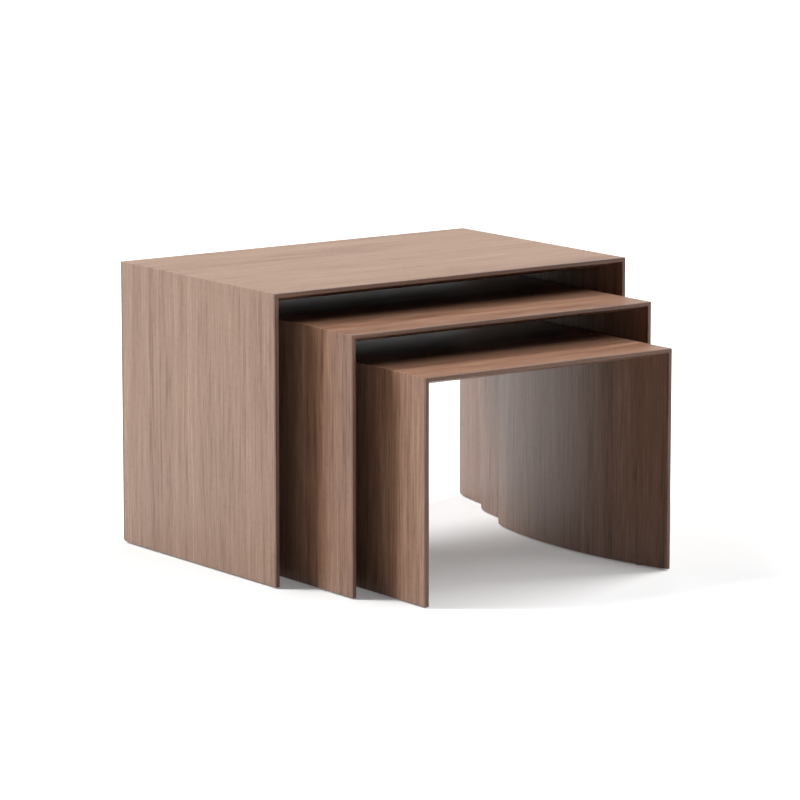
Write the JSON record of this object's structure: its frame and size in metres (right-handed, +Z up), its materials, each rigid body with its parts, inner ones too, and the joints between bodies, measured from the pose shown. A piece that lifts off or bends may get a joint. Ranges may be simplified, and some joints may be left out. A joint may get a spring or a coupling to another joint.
{
  "type": "nesting tables",
  "caption": "Nest of open waterfall tables, each a flat top on two side boards with thin front edges and a bowed inner face; the smaller ones slide under the larger.",
  "frame": {"origin": "on the floor, in the middle of the set's outline as it stands half pulled out", "axes": "+X to the right as seen from the front, -Y towards the front (the way the smaller tables pull out), +Z up"},
  "size_m": [0.67, 0.672, 0.45],
  "materials": {
    "walnut_veneer": "straight-grained walnut veneer on a shaped core, satin lacquer",
    "walnut_lipping": "solid walnut edge strip, sanded flush, satin lacquer",
    "beech": "pressed beech, unfinished, glued in",
    "nylon": "moulded nylon, matt"
  },
  "bodies": {
    "large_table": {"large_top_panel": "walnut_veneer", "large_top_front_lipping": "walnut_lipping", "large_top_rear_lipping": "walnut_lipping", "large_left_panel": "walnut_veneer", "large_left_front_lipping": "walnut_lipping", "large_left_rear_lipping": "walnut_lipping", "large_left_biscuits": "beech", "large_left_glides": "nylon", "large_right_panel": "walnut_veneer", "large_right_front_lipping": "walnut_lipping", "large_right_rear_lipping": "walnut_lipping", "large_right_biscuits": "beech", "large_right_glides": "nylon"},
    "medium_table": {"medium_top_panel": "walnut_veneer", "medium_top_front_lipping": "walnut_lipping", "medium_top_rear_lipping": "walnut_lipping", "medium_left_panel": "walnut_veneer", "medium_left_front_lipping": "walnut_lipping", "medium_left_rear_lipping": "walnut_lipping", "medium_left_biscuits": "beech", "medium_left_glides": "nylon", "medium_right_panel": "walnut_veneer", "medium_right_front_lipping": "walnut_lipping", "medium_right_rear_lipping": "walnut_lipping", "medium_right_biscuits": "beech", "medium_right_glides": "nylon"},
    "small_table": {"small_top_panel": "walnut_veneer", "small_top_front_lipping": "walnut_lipping", "small_top_rear_lipping": "walnut_lipping", "small_left_panel": "walnut_veneer", "small_left_front_lipping": "walnut_lipping", "small_left_rear_lipping": "walnut_lipping", "small_left_biscuits": "beech", "small_left_glides": "nylon", "small_right_panel": "walnut_veneer", "small_right_front_lipping": "walnut_lipping", "small_right_rear_lipping": "walnut_lipping", "small_right_biscuits": "beech", "small_right_glides": "nylon"}
  },
  "joints": [
    {"name": "medium_slide", "type": "slide", "parent": "large_table", "child": "medium_table", "axis": [0, -1, 0], "range_m": [-0.128, 0.362]},
    {"name": "small_slide", "type": "slide", "parent": "large_table", "child": "small_table", "axis": [0, -1, 0], "range_m": [-0.242, 0.738]}
  ]
}
